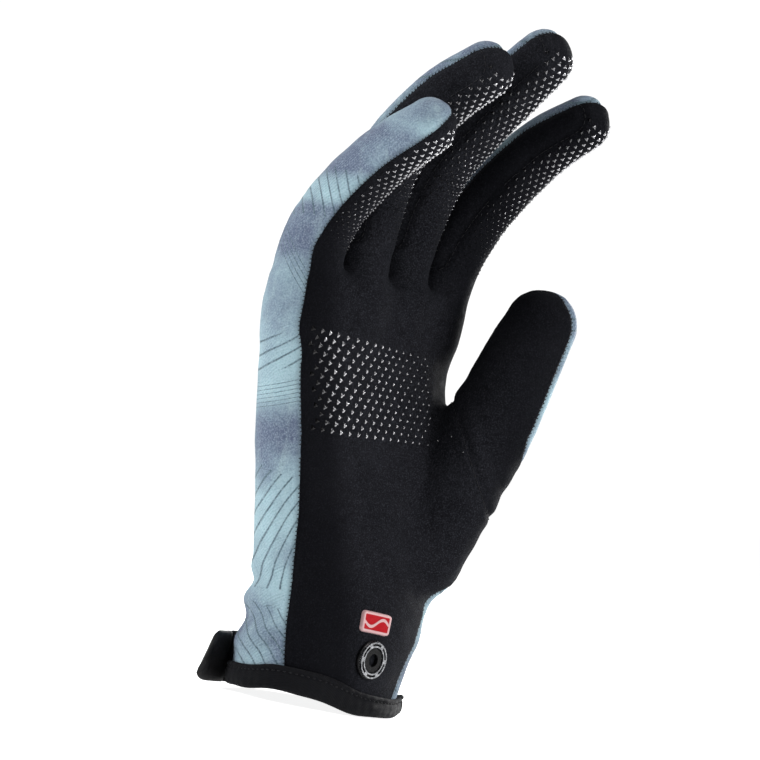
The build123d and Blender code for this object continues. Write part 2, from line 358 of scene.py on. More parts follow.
def stall_fields(p):
    """Each point's place on the stalls: who, the nearest finger; s, u, w and r, along, across, behind and
    radius there; gap, half of how much nearer it is than the next; ts, tu, tw, tr and thumb, the thumb's."""
    out = {"who": np.full(len(p), -1)}
    best = np.full(len(p), 900.0)
    second = np.full(len(p), 900.0)
    for k in ("s", "u", "w", "r"):
        out[k] = np.zeros(len(p))
    for i, name in enumerate(FINGERS):
        d, s, u, w, r = STALLS[name].local(p)
        near = d < best
        second = np.where(near, best, np.minimum(second, d))
        best = np.where(near, d, best)
        out["who"] = np.where(near, i, out["who"])
        for k, v in zip(("s", "u", "w", "r"), (s, u, w, r)):
            out[k] = np.where(near, v, out[k])
    out["gap"] = (second - best) / 2
    d, s, u, w, r = STALLS["thumb"].local(p)
    out["ts"], out["tu"], out["tw"], out["tr"] = s, u, w, r
    out["thumb"] = np.minimum(palm_body(p), best) - d
    return out


def view_x(p):
    """How far right a point lies in the photograph's view, in mm."""
    return VIEW_X * p[:, 0] + VIEW_Y * p[:, 1]


def back_field(p, f):
    """Positive on the knit back, negative on the suede. About mm from the seam."""
    x, z = p[:, 0], p[:, 2]
    web = WEB_MOVE * hump(f["gap"], 0, 3.4) * above(z, 117, 8)
    radial = above(x, 9, 12) * (RADIAL_MOVE * below(z, 84, 22) + CUFF_MOVE * below(z, 54, 20))
    inner = INNER_MOVE * above(x, 22, 8) * above(z, 84, 8)
    ulnar = ULNAR_MOVE * hump(z, 100, 17) * below(x, -15, 10)
    hand = p[:, 1] - (SEAM_Y + SEAM_SLOPE * z) - web + radial - inner - ulnar
    finger = np.zeros(len(p))
    for i, name in enumerate(FINGERS):
        slope, lift = BACK_LINE[name]
        value = (f["w"] - slope * f["u"] - lift * f["r"]) / math.hypot(1, slope)
        finger = np.where(f["who"] == i, value, finger)
    t = above(f["s"], -6, 14)
    finger = finger - CROTCH_MOVE * hump(f["gap"], 0, 2.2) * below(f["s"], 14, 10)
    field = (1 - t) * hand + t * finger
    outer = f["tu"] * np.sign(view_x(STALLS["thumb"].side[None])[0])
    thumb = f["tw"] + (0.24 * smoothstep(outer / 5) - 0.12) * f["tr"]
    m = above(f["thumb"], -2, 5) * above(f["ts"], -26, 30)
    return (1 - m) * field + m * thumb


def side_field(p, f):
    """Positive on the strips sewn in between the fingers."""
    field = np.full(len(p), -6.0)
    for i, name in enumerate(FINGERS):
        for side in SHAPE[name][3]:
            value = side * f["u"] - STRIP_EDGE * f["r"]
            field = np.where(f["who"] == i, np.maximum(field, value), field)
    t = above(f["s"], -7, 9)
    return (1 - t) * -6.0 + t * field


def thumb_field(p, f):
    """Positive on the suede piece of the thumb."""
    slant = ((p[:, 2] - 80) + 1.75 * (view_x(p) - 34)) / 2.0
    return soft_min(slant, f["thumb"] * 0.8 + 0.6, 2.0)


def piece_fields(p, f):
    """For each stall, signed distances past its cuts: onto the stall, and past the middle of each segment."""

    def past_middle(a, b):
        return (p - (a + (b - a) * CUT_SHARE)) @ unit(b - a)

    cuts = {}
    for i, name in enumerate(FINGERS):
        start, _, way = BENDS[name][0]
        near = np.where(f["who"] == i, f["gap"], -f["gap"])
        near = np.where(f["thumb"] > 0, -3.0, near)
        base, middle, tip = knuckles(name)
        onto = np.minimum((p - start) @ way, near)
        cuts[name] = (onto, past_middle(base, middle), past_middle(middle, tip))
    start, _, way = BENDS["thumb"][0]
    joints = joint_point("thumb_base_spread"), joint_point("thumb_tip_bend")
    cuts["thumb"] = (np.minimum((p - start) @ way, f["thumb"]), past_middle(*joints))
    return cuts


def make_bends():
    """Where each joint's bending cloth starts and ends: start point, end point and way between."""
    bends = {}
    for name in FINGERS:
        points = knuckles(name)
        before, last = np.array((0.0, 0.0, 1.0)), 0.0
        bends[name] = []
        for i in range(3):
            if i < 2:
                length = np.linalg.norm(points[i + 1] - points[i])
                after = unit(points[i + 1] - points[i])
            else:
                length = SHAPE[name][1]
                after = turned(before, joint_axis(f"{name}_base_bend"), SHAPE[name][0])
            way = unit(before + after)
            back = 5.0 if i == 0 else min(7.0, 0.48 * last - 2)
            reach = min(9.0, 0.52 * length - 2)
            bends[name].append((points[i] - way * back, points[i] + way * reach, way))
            before, last = after, length
    a, b = joint_point("thumb_base_spread"), joint_point("thumb_tip_bend")
    bends["thumb"] = []
    for point, way, (back, reach) in zip((a, b), (unit(WEB_WAY), unit(b - a)), THUMB_REACH):
        bends["thumb"].append((point - way * back, point + way * reach, way))
    return bends


BENDS = make_bends()


class Cloth:
    """Points and triangles that can be split along a field."""

    def __init__(self, points, tris):
        self.p, self.t = points, tris

    def split(self, field, only=None):
        """Puts mesh edges along field = 0. only, if given, picks the points whose triangles may be split."""
        v = field(self.p)
        v = np.where(np.abs(v) < 0.1, 0.0, v)
        sign = np.sign(v)
        t = self.t
        s = sign[t]
        crossing = (s.min(1) < 0) & (s.max(1) > 0)
        if only is not None:
            crossing &= only[t].all(1)
        keep, cut = t[~crossing], t[crossing]
        if not len(cut):
            return
        edges = np.vstack([cut[:, [0, 1]], cut[:, [1, 2]], cut[:, [2, 0]]])
        edges = edges[sign[edges[:, 0]] * sign[edges[:, 1]] < 0]
        edges = np.unique(np.sort(edges, 1), axis=0)
        a, b = self.p[edges[:, 0]], self.p[edges[:, 1]]
        h = (v[edges[:, 0]] / (v[edges[:, 0]] - v[edges[:, 1]]))[:, None]
        lookup = {(int(i), int(j)): len(self.p) + k for k, (i, j) in enumerate(edges)}
        self.p = np.vstack([self.p, a + (b - a) * h])
        new = []
        for tri in cut:
            tri = [int(i) for i in tri]
            ring = []
            for i in range(3):
                a, b = tri[i], tri[(i + 1) % 3]
                ring.append(a)
                if sign[a] * sign[b] < 0:
                    ring.append(lookup[(min(a, b), max(a, b))])
            side = {i: sign[i] for i in tri}
            for which in (-1, 1):
                part = [i for i in ring if side.get(i, 0) * which >= 0]
                for k in range(1, len(part) - 1):
                    new.append((part[0], part[k], part[k + 1]))
        self.t = np.vstack([keep, np.array(new)])


def waves(p, seed, scale, count=7):
    """A smooth bumpy field of about unit height, always the same for one seed."""
    rng = np.random.default_rng(seed)
    total = np.zeros(len(p))
    for _ in range(count):
        way = unit(rng.normal(size=3))
        total += np.sin(p @ way * (2 * math.pi / scale) * rng.uniform(0.7, 1.5) + rng.uniform(0, 6.3))
    return total / math.sqrt(count)


def seam_lift(v):
    """A sewn valley and the roll on both sides of it, v mm from a seam."""
    return -0.5 * hump(v, 0, 0.75) + 0.2 * hump(np.abs(v), 2.0, 1.1)


def lifted(p, n):
    """Moves points to where the cloth really lies: seam valleys, gathers along them, folds and slack."""
    f = stall_fields(p)
    back, side, thumb = back_field(p, f), side_field(p, f), thumb_field(p, f)
    on_suede = smoothstep(-back / 1.5)
    d = seam_lift(back) + seam_lift(side) * on_suede + seam_lift(thumb) * on_suede
    z = p[:, 2]
    ulnar = below(view_x(p), -4, 16)
    slack = smoothstep(back / 4) * below(z, 42, 18) * above(z, 5, 9)
    phase = 0.5 * z - 0.36 * view_x(p) + 1.3 * waves(p, 3, 34, 4)
    d += slack * (0.35 + 0.65 * ulnar) * 1.05 * np.sin(phase)
    d += 0.22 * waves(p, 5, 38) * above(z, 8, 20)
    d += 0.06 * waves(p, 8, 9) * above(z, 4, 8)
    gather = hump(back, 0, 2.6) * np.sin((z + 0.6 * p[:, 0]) * 2 * math.pi / 3.4)
    d += 0.07 * gather * above(z, 6, 6)
    for name in FINGERS:
        who = f["who"] == FINGERS.index(name)
        for k in range(2):
            place = STALLS[name].along[LINE_STEPS * (k + 2)]
            crease = hump(f["s"] - place, 0, 1.5) + 0.6 * hump(f["s"] - place, -4.2, 1.3)
            d -= np.where(who, 0.3 * crease * smoothstep(-f["w"] / 7), 0)
    fold = hump(thumb, 6.0, 1.6) * above(f["thumb"], -1, 4)
    d -= 0.4 * fold * smoothstep(-back / 2)
    return p + n * d[:, None]


# ---- panels of cloth
# distances from a seam at which the mesh gets edges that follow it
LEVELS = (0.0, 0.7, -0.7, 1.6, -1.6)
# cuff binding round the wrist: angles from +X in degrees, height of its middle, and half its width
CUFF_ANGLES = (-180, -150, -118, -100, -85, -60, 0, 90, 180)
CUFF_HEIGHTS = (1.5, 3.9, 2.9, 0.3, -0.7, -0.7, -0.2, 0.3, 1.5)
CUFF_HALF = (3.4, 3.7, 3.9, 3.7, 3.3, 2.9, 3.1, 3.3, 3.4)


def round_wrist(angles, values):
    """Smoothed values round the wrist at angles in degrees from +X."""
    total = np.zeros(len(angles))
    shifts = np.linspace(-13, 13, 9)
    for shift in shifts:
        total += np.interp((angles + shift + 180) % 360 - 180, CUFF_ANGLES, values)
    return total / len(shifts)


def cuff_height(p):
    return round_wrist(np.degrees(np.arctan2(p[:, 1], p[:, 0])), CUFF_HEIGHTS)


def field_of(kind):
    return lambda p: kind(p, stall_fields(p))


back_of = field_of(back_field)


def cut_cloth():
    """The glove's surface with edges along the seams and cuts, open at the cuff."""
    cloth = Cloth(*surface())
    for level in LEVELS:
        cloth.split(lambda p: back_of(p) - level)
    for kind in (side_field, thumb_field):
        for level in LEVELS:
            cloth.split(lambda p: field_of(kind)(p) - level, back_of(cloth.p) < 0.3)
    cloth.split(lambda p: p[:, 2] - (cuff_height(p) - 1.0))
    middle = cloth.p[cloth.t].mean(1)
    cloth.t = cloth.t[middle[:, 2] > cuff_height(middle) - 1.0]
    for name in SEGMENTS:
        cloth.split(lambda p: piece_fields(p, stall_fields(p))[name][0])
        for k in range(1, len(SEGMENTS[name])):
            onto = piece_fields(cloth.p, stall_fields(cloth.p))[name][0] > -0.2
            cloth.split(lambda p: piece_fields(p, stall_fields(p))[name][k], onto)
    return cloth


def piece_of(p):
    """Name of the moving piece that each point belongs to."""
    names = np.full(len(p), "hand", dtype=object)
    for name, cuts in piece_fields(p, stall_fields(p)).items():
        step = sum((c > 0).astype(int) for c in cuts[1:])
        for k in range(len(cuts)):
            names[(cuts[0] > 0) & (step == k)] = f"{name}_{k}"
    return names


def attach(obj, piece):
    """Makes a piece ride on the hand. Any other piece only gets its placement baked into its points."""
    if piece == "hand":
        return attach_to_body(obj, "hand")
    name, k = piece.rsplit("_", 1)
    bodies = ["hand"] + [f"{name}_{part}" for part in SEGMENTS[name]]
    start, end, _ = BENDS[name][int(k)]
    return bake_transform(obj)


def mesh_object(name, points, faces, finish, slot, values=None):
    """A smooth mesh in metres from points in mm. values are per-point numbers or vectors for its finish."""
    mesh = bpy.data.meshes.new(name)
    mesh.from_pydata((np.asarray(points) * MM).tolist(), [], faces)
    mesh.polygons.foreach_set("use_smooth", [True] * len(mesh.polygons))
    values = dict(values or {})
    values.setdefault("rest", np.asarray(points, float))
    for key, data in values.items():
        vector = np.ndim(data) == 2
        layer = mesh.attributes.new(key, "FLOAT_VECTOR" if vector else "FLOAT", "POINT")
        layer.data.foreach_set("vector" if vector else "value", np.asarray(data, np.float32).ravel())
    mesh.materials.append(FINISHES[finish])
    mesh.update()
    obj = bpy.data.objects.new(name, mesh)
    bpy.context.scene.collection.objects.link(obj)
    return obj


def point_normals(points, tris):
    face = np.cross(points[tris[:, 1]] - points[tris[:, 0]], points[tris[:, 2]] - points[tris[:, 0]])
    out = np.zeros_like(points)
    for k in range(3):
        np.add.at(out, tris[:, k], face)
    return out / (length_of(out) + 1e-12)


def shell(points, way, tris, thick):
    """A closed sheet: tris outside, the same moved in along way, and a wall round every open edge."""
    used, local = np.unique(tris, return_inverse=True)
    local = local.reshape(-1, 3)
    n = len(used)
    edges = np.vstack([local[:, [0, 1]], local[:, [1, 2]], local[:, [2, 0]]])
    known = {(int(a), int(b)) for a, b in edges}
    rim = [(a, b) for a, b in edges.tolist() if (b, a) not in known]
    faces = local.tolist() + (local[:, ::-1] + n).tolist() + [[b, a, a + n, b + n] for a, b in rim]
    outer = points[used]
    return np.vstack([outer, outer - way[used] * thick]), faces, used


def shade_across(mesh, way, count):
    """Gives the faces of a shell of count triangles the whole glove's normals, so that no cut shows."""
    loops = np.zeros(len(mesh.loops), int)
    mesh.loops.foreach_get("vertex_index", loops)
    n = len(way)
    given = np.where(loops[:, None] < n, way[loops % n], -way[loops % n])
    walls = np.arange(len(loops)) >= 6 * count
    flat = np.zeros(len(mesh.polygons) * 3)
    mesh.polygons.foreach_get("normal", flat)
    given[walls] = np.repeat(flat.reshape(-1, 3)[2 * count :], 4, axis=0)
    mesh.normals_split_custom_set(given.tolist())


# the knit's print: tone at each height, from aqua 0 to slate 1; the darker tones from about 180 mm up are
# partly painted shade on the fingertips
PRINT_AND_SHADE_TONES = [(-5, 0.6), (6, 0.7), (14, 0.95), (22, 0.55), (31, 0.0), (42, 0.4), (52, 0.0), (60, 0.3), (68, 0.95),
         (79, 0.8), (87, 0.15), (102, 0.0), (112, 0.4), (119, 0.55), (125, 0.5), (132, 1.0), (142, 1.0),
         (146, 0.1), (152, 0.15), (157, 1.0), (171, 1.0), (177, 0.45), (182, 0.8), (192, 0.8), (204, 0.85),
         (215, 0.6)]


def print_and_shade_values(p):
    """The knit's print at each point: tone, partly painted shade near the fingertips, contour height, and how
    strongly its contour lines show.
    """
    x, z = view_x(p), p[:, 2]
    # the tone's darker fingertip values are partly painted shade
    tone = np.interp(z + 3.2 * waves(p, 21, 60, 5), *zip(*PRINT_AND_SHADE_TONES))
    tone = np.clip(tone + 0.2 * waves(p, 23, 26, 6), 0, 1)
    warp = 0.7 * waves(p, 31, 52, 5) + 0.22 * waves(p, 33, 17, 5)
    arcs = np.hypot(x + 7.5 - 0.25 * (z - 40), 0.45 * (z - 40))
    rising = 0.78 * z - 0.62 * x
    # each group of lines: what its lines follow, their spacing, and the place, low and high that bound it
    groups = [
        (0.76 * x + 0.64 * z, 2.7, z, -8, 24), (arcs, 3.1, z, 28, 66),
        (0.94 * z - 0.32 * x, 1.25, None, 87, 96.5),
        (rising, 3.6, 0.94 * z - 0.32 * x, 98, 111), (0.8 * x + 0.6 * z, 1.4, None, 47.6, 54.5),
        (0.91 * x + 0.41 * z, 3.1, z, 141, 158), (0.9 * z - 0.45 * x, 3.1, z, 189, 230),
    ]
    contour, drawn = np.zeros(len(p)), np.zeros(len(p))
    for flow, spacing, place, low, high in groups:
        place = flow if place is None else place + 2.0 * waves(p, 37, 30, 5)
        shown = smoothstep((place - low) / 1.2) * smoothstep((high - place) / 1.2)
        contour = np.where(shown > drawn, (flow + warp) / spacing, contour)
        drawn = np.maximum(drawn, shown)
    return {"tone": tone, "contour": contour, "drawn": drawn}


def make_panels():
    """Every panel of cloth, cut by piece and by material, and the seams' lines for stitching."""
    cloth = cut_cloth()
    middle = cloth.p[cloth.t].mean(1)
    f = stall_fields(middle)
    back = back_field(middle, f) > 0
    strip = (side_field(middle, f) > 0) & ~back
    thumb = (thumb_field(middle, f) > 0) & ~back & ~strip
    panel = np.where(back, "knit", np.where(strip, "strip", np.where(thumb, "thumb_suede", "suede")))
    piece = piece_of(middle)
    rest_way, _ = normals(cloth.p)
    placed = lifted(cloth.p, rest_way)
    way = point_normals(placed, cloth.t)
    seam = back_of(cloth.p)
    made = {}
    for where in sorted(set(piece)):
        for what in sorted(set(panel[piece == where])):
            tris = cloth.t[(piece == where) & (panel == what)]
            if len(tris) < 4:
                continue
            points, faces, used = shell(placed, way, tris, CLOTH)
            both = np.concatenate([used, used])
            values = {"rest": cloth.p[both], "seam": seam[both]}
            finish = "knit" if what == "knit" else "suede"
            if finish == "knit":
                values |= print_and_shade_values(cloth.p[both])
            obj = mesh_object(f"{where}_{what}", points, faces, finish, finish, values)
            shade_across(obj.data, way[used], len(tris))
            made[where, what] = attach(obj, where)
    return cloth, made


def stand_in(made):
    """Hides the CAD nodes that each cloth piece stands in for."""
    sides = {"palm": "suede", "back": "knit"}
    for name, parts in SEGMENTS.items():
        for k, part in enumerate(parts):
            for side, what in sides.items():
                if name == "thumb" and side == "palm":
                    what = "thumb_suede"
                obj = made.get((f"{name}_{k}", what)) or made.get((f"{name}_{k}", "suede"))
                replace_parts(obj, f"{name}_{part}_{side}")
    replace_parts(made["hand", "suede"], "palm_panel", "thumb_gusset_palm")
    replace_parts(made["hand", "knit"], "back_panel", "thumb_gusset_back")


# ---- things laid on the cloth
def settle(p):
    """Moves points onto the glove's face, then to where the cloth lies. Gives points and outward ways."""
    for _ in range(3):
        p = onto_glove(p, 1.5)
    n, _ = normals(p)
    return lifted(p, n), n, p


def capped_rings(count, rings, sides):
    """Faces of count closed shapes, each through its own rings of sides points and capped at both ends."""
    one = []
    for k in range(rings - 1):
        for i in range(sides):
            j = (i + 1) % sides
            one.append([k * sides + i, k * sides + j, (k + 1) * sides + j, (k + 1) * sides + i])
    one += [list(range(sides))[::-1], [(rings - 1) * sides + i for i in range(sides)]]
    return [[c * rings * sides + v for v in face] for c in range(count) for face in one]


def tubes(lines, ups, radii, sides=6):
    """Closed round threads along lines shaped (count, steps, 3). radii gives the radius at each step."""
    count, steps, _ = lines.shape
    along = np.gradient(lines, axis=1)
    along /= np.linalg.norm(along, axis=2)[..., None] + 1e-9
    across = np.cross(along, ups)
    across /= np.linalg.norm(across, axis=2)[..., None] + 1e-9
    out = np.cross(across, along)
    turn = np.arange(sides) * 2 * math.pi / sides
    r = np.asarray(radii)[None, :, None, None]
    around = np.cos(turn)[:, None] * across[:, :, None] + np.sin(turn)[:, None] * out[:, :, None]
    rings = lines[:, :, None] + r * around
    return rings.reshape(-1, 3), capped_rings(count, steps, sides)


def chains(edges):
    """Runs of points along edges, each from one end or branching to the next."""
    near = {}
    for a, b in edges:
        near.setdefault(a, []).append(b)
        near.setdefault(b, []).append(a)
    left, runs = {tuple(sorted(e)) for e in edges}, []
    for start in sorted(near, key=lambda v: (len(near[v]) == 2, v)):
        for first in sorted(near[start]):
            if tuple(sorted((start, first))) not in left:
                continue
            run, here, step = [start], start, first
            while True:
                left.discard(tuple(sorted((here, step))))
                run.append(step)
                ways = [v for v in sorted(near[step]) if tuple(sorted((step, v))) in left]
                if len(ways) != 1 or len(near[step]) != 2:
                    break
                here, step = step, ways[0]
            runs.append(run)
    return runs


def seam_samples(cloth, kind, pitch, mask):
    """Evenly spaced points along a seam, and the ways along it and across it to the field's positive side."""
    v = field_of(kind)(cloth.p)
    on = (np.abs(v) < 0.11) & mask(cloth.p)
    edges = np.vstack([cloth.t[:, [0, 1]], cloth.t[:, [1, 2]], cloth.t[:, [2, 0]]])
    edges = np.unique(np.sort(edges[on[edges].all(1)], 1), axis=0)
    spots, ways = [], []
    for run in chains([tuple(e) for e in edges.tolist()]):
        line = cloth.p[run]
        if len(line) > 4:
            line[1:-1] = (line[:-2] + 2 * line[1:-1] + line[2:]) / 4
        gone = np.concatenate([[0], np.cumsum(np.linalg.norm(np.diff(line, axis=0), axis=1))])
        if gone[-1] < pitch * 1.5:
            continue
        at = np.arange(pitch / 2, gone[-1], pitch)
        spot = np.stack([np.interp(at, gone, line[:, i]) for i in range(3)], 1)
        ahead = np.stack([np.interp(at + 0.5, gone, line[:, i]) for i in range(3)], 1)
        behind = np.stack([np.interp(at - 0.5, gone, line[:, i]) for i in range(3)], 1)
        run_way = ahead - behind
        spots.append(spot)
        ways.append(run_way / (length_of(run_way) + 1e-9))
    p, along = np.vstack(spots), np.vstack(ways)
    n, _ = normals(p)
    across = np.cross(n, along)
    sign = np.sign(field_of(kind)(p + across * 0.8) - field_of(kind)(p - across * 0.8))
    return p, along, across * sign[:, None]


def stitches(cloth, name, kind, pitch, shape, radius, mask=lambda p: p[:, 2] > 5, slot="suede"):
    """Threads along a seam. shape lists each thread's steps as (across, along, height)."""
    p, along, across = seam_samples(cloth, kind, pitch, mask)
    steps = np.array(shape)
    spread = p[:, None] + across[:, None] * steps[None, :, :1] + along[:, None] * steps[None, :, 1:2]
    placed, n, _ = settle(spread.reshape(-1, 3))
    placed = placed + n * np.tile(steps[:, 2], len(p))[:, None]
    lines, ups = placed.reshape(spread.shape), n.reshape(spread.shape)
    piece = piece_of(p)
    taper = np.full(len(steps), radius)
    taper[[0, -1]] *= 0.55
    for where in sorted(set(piece)):
        pick = piece == where
        points, faces = tubes(lines[pick], ups[pick], taper)
        attach(mesh_object(f"{name}_{where}", points, faces, "thread", slot), where)


# a silicone dot: points round it, corner rounding and half width, and each ring's share of size and height
DOT_POINTS = 12
DOT_ROUND, DOT_SIDE = 0.13, 0.4
DOT_RINGS = [(1.0, -0.3), (0.99, 0.08), (0.9, 0.22), (0.26, 0.92), (0.12, 1.0)]


def dots(name, spots, aim, sizes, painted_glint, bump):
    """Raised rounded triangles of silicone at spots on the cloth, each with a corner towards aim."""
    placed, n, rest = settle(spots)
    side = np.cross(n, aim)
    side /= length_of(side)
    up = np.cross(side, n)
    turn = np.arange(DOT_POINTS) * 2 * math.pi / DOT_POINTS
    reach = DOT_ROUND + DOT_SIDE / np.cos(turn % (2 * math.pi / 3) - math.pi / 3)
    piece = piece_of(rest)
    for where in sorted(set(piece)):
        pick = np.flatnonzero(piece == where)
        points = []
        for i in pick:
            for share, height in DOT_RINGS:
                offset = sizes[i] * share * reach
                ring = placed[i] + up[i] * (offset * np.cos(turn))[:, None]
                ring = ring - side[i] * (offset * np.sin(turn))[:, None]
                points.append(ring + n[i] * (height * bump * (0.45 + 0.55 * sizes[i])))
        faces = capped_rings(len(pick), len(DOT_RINGS), DOT_POINTS)
        # each dot carries its painted glint value to the silicone finish
        values = {"painted_glint": np.repeat(painted_glint[pick], len(DOT_RINGS) * DOT_POINTS)}
        obj = mesh_object(f"{name}_{where}", np.vstack(points), faces, "silicone", "silicone", values)
        yield where, attach(obj, where)


# the palm's dots: columns, rows, and how many columns next to the seam get painted shade, a near black colour
# with no glint
PALM_COLUMNS, PALM_ROWS, PAINTED_SHADE_COLUMNS = 34, 7, 4.2
# size of the palm's dots by column
PALM_DOT_SIZES = [(0, 1.15), (9, 1.1), (17, 0.9), (22, 0.7), (27, 0.48), (33, 0.32)]


def onto_palm(p):
    """Moves points that lie in front of the palm straight back onto it."""
    for _ in range(40):
        p[:, 1] += np.clip(glove(p) * 0.8, -0.5, 6)
    return p


def palm_dots():
    """Staggered columns across the palm, closer and smaller towards the thumb."""
    xs = np.linspace(-37.8, 33, 120)
    # points across the palm, which tell x from the place in the photograph's view
    probe = onto_palm(np.stack([xs, np.full(len(xs), -40.0), np.full(len(xs), 93.0)], 1))
    spots, sizes, painted_glint = [], [], []
    place = -22.1
    for i in range(PALM_COLUMNS):
        x = np.interp(place, view_x(probe), xs)
        foot, pitch = 79.6 + 0.037 * (x + 36), 4.65 - 0.011 * (x + 36)
        for j in range(PALM_ROWS):
            rise = pitch * (j + (0 if i % 2 else 0.5))
            spots.append((x - 0.25 * rise, -40.0, foot + rise))
            sizes.append(np.interp(i, *zip(*PALM_DOT_SIZES)))
            # painted shade on the first columns by the seam, painted glint on the rest
            painted_glint.append(above(i, PAINTED_SHADE_COLUMNS, 5.5))
        place += 1.52 - 0.0165 * i
    p = onto_palm(np.array(spots))
    keep = back_of(p) < -1.6
    return p[keep], np.array(sizes)[keep], np.array(painted_glint)[keep]


def finger_dots(name):
    """Staggered rows up the front of a finger, tiny at its foot and large at its tip."""
    stall = STALLS[name]
    spots, sizes, painted_glint, aims = [], [], [], []
    s, row = 3.0, 0
    top = stall.length
    turned_seam = -16.0 if name == "little" else 0.0
    while s < top + 7.5:
        share = min(s / top, 1.0)
        at = np.searchsorted(stall.along, min(s, top - 0.01)) - 1
        a, b = stall.line[at], stall.line[at + 1]
        t = unit(b - a)
        back = unit(np.cross(t, stall.side))
        middle = a + t * (min(s, top) - stall.along[at])
        width = stall.radii[at]
        dome = max(0.0, s - top) / width
        size = float(0.25 + 0.62 * smoothstep(share * 1.05))
        pitch = 1.9 + 0.8 * size
        for k in range(-6, 7):
            steps = k + (0.5 if row % 2 else 0)
            angle = math.radians(turned_seam) + steps * pitch / (width * math.cos(dome))
            if abs(math.degrees(angle) - turned_seam) > 66:
                continue
            out = stall.side * math.sin(angle) - back * DEPTH * math.cos(angle)
            spots.append(middle + width * (out * math.cos(dome) + t * math.sin(dome)))
            sizes.append(size)
            # painted glint: brighter towards the fingertip and across to one side of the finger, painted
            # shade elsewhere
            painted_glint.append(share * smoothstep((math.degrees(angle) - turned_seam + 62) / 60))
            aims.append(t)
        s += pitch * 0.86
        row += 1
    p = np.array(spots)
    f = stall_fields(p)
    keep = (f["who"] == FINGERS.index(name)) & (back_field(p, f) < -1.5) & (side_field(p, f) < -0.7)
    return p[keep], np.array(sizes)[keep], np.array(painted_glint)[keep], np.array(aims)[keep]


def make_grip():
    """The silicone print on the palm and on each finger."""
    spots, sizes, painted_glint = palm_dots()
    aims = np.tile((1.0, 0.0, 0.0), (len(spots), 1))
    for where, obj in dots("grip_palm", spots, aims, sizes, painted_glint, 0.4):
        if where == "hand":
            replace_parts(obj, "palm_grip_print")
    for name in FINGERS:
        spots, sizes, painted_glint, aims = finger_dots(name)
        found = dict(dots(f"grip_{name}", spots, aims, sizes, painted_glint, 0.5))
        for k, part in enumerate(SEGMENTS[name]):
            obj = found.get(f"{name}_{k}") or list(found.values())[0]
            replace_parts(obj, f"{name}_{part}_grip")


def sweep(name, rings, finish, slot, closed_round):
    """A surface through rings of points. Its ends are capped, unless it closes on itself."""
    rings = np.asarray(rings)
    n, m, _ = rings.shape
    faces = []
    for i in range(n if closed_round else n - 1):
        j = (i + 1) % n
        for k in range(m):
            l = (k + 1) % m
            faces.append([i * m + k, j * m + k, j * m + l, i * m + l])
    if not closed_round:
        faces += [list(range(m)), [(n - 1) * m + k for k in range(m)][::-1]]
    return mesh_object(name, rings.reshape(-1, 3), faces, finish, slot)


def wrist_face(theta, z):
    """Points on the hand's face at angles in radians round the wrist, and the level outward ways."""
    p = np.stack([30 * np.cos(theta), 0.4 + 20 * np.sin(theta), np.broadcast_to(z, theta.shape)], 1)
    for _ in range(12):
        n, _ = normals(p)
        n[:, 2] = 0
        n /= length_of(n)
        p = p - n * np.clip(palm_body(p), -3, 3)[:, None]
    return p, n


THREAD = [0.1, 0.2, 0.22, 0.2, 0.1]  # radius along one stitch
# the binding's section: distance out from the hand, and share of its half width
BINDING = [(0.3, 1.0), (0.95, 1.05), (1.5, 0.93), (1.62, 0.74), (1.2, 0.58), (1.62, 0.4), (1.9, 0.0),
           (1.86, -0.45), (1.5, -0.82), (0.8, -1.0), (-0.3, -1.06), (-1.4, -0.95), (-2.0, -0.6),
           (-2.1, 0.2), (-1.9, 0.75), (-1.3, 0.95)]
GROOVE = 0.58  # share of the half width at which the binding is stitched
LAP = 0.85


def lap_at(degrees):
    """1 where the binding's ends lie over each other."""
    return hump(degrees, -30, 7.0, 4)


def make_binding():
    """The folded elastic round the cuff: a rolled band with a stitched groove, lapped at the thumb side."""
    count = 420
    theta = np.linspace(-math.pi, math.pi, count, endpoint=False)
    degrees = np.degrees(theta)
    centre, half = round_wrist(degrees, CUFF_HEIGHTS), round_wrist(degrees, CUFF_HALF)
    lap = lap_at(degrees)
    rings = []
    for out, share in BINDING:
        p, n = wrist_face(theta, centre + half * share)
        ripple = 0.07 * np.sin(theta * 52) * (0.4 + 0.6 * np.abs(share))
        ripple = ripple + 0.05 * np.sin(theta * 17 + 2 * share)
        lift = (LAP * lap if out > 0 else 0) + ripple
        q = p + n * (out + lift)[:, None]
        q[:, 2] += 0.7 * lap * (out > 0) + 0.12 * np.sin(theta * 9 + 1)
        rings.append(q)
    obj = sweep("cuff_binding_fold", np.array(rings).transpose(1, 0, 2), "binding", "binding", True)
    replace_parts(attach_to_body(obj, "hand"), "cuff_binding")
    at = np.linspace(-math.pi, math.pi, 92, endpoint=False)
    turn = (at[1] - at[0]) * 0.56
    steps = np.array([0, 0.25, 0.5, 0.75, 1.0])
    heights = np.array([0.0, 0.22, 0.3, 0.22, 0.0])
    spots = (at[:, None] + turn * steps[None]).ravel()
    degrees = np.degrees(spots)
    p, n = wrist_face(spots, round_wrist(degrees, CUFF_HEIGHTS) + GROOVE * round_wrist(degrees, CUFF_HALF))
    p = p + n * (1.12 + np.tile(heights, len(at)) + LAP * lap_at(degrees))[:, None]
    points, faces = tubes(p.reshape(-1, 5, 3), n.reshape(-1, 5, 3), THREAD)
    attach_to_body(mesh_object("cuff_stitching", points, faces, "thread", "binding"), "hand")


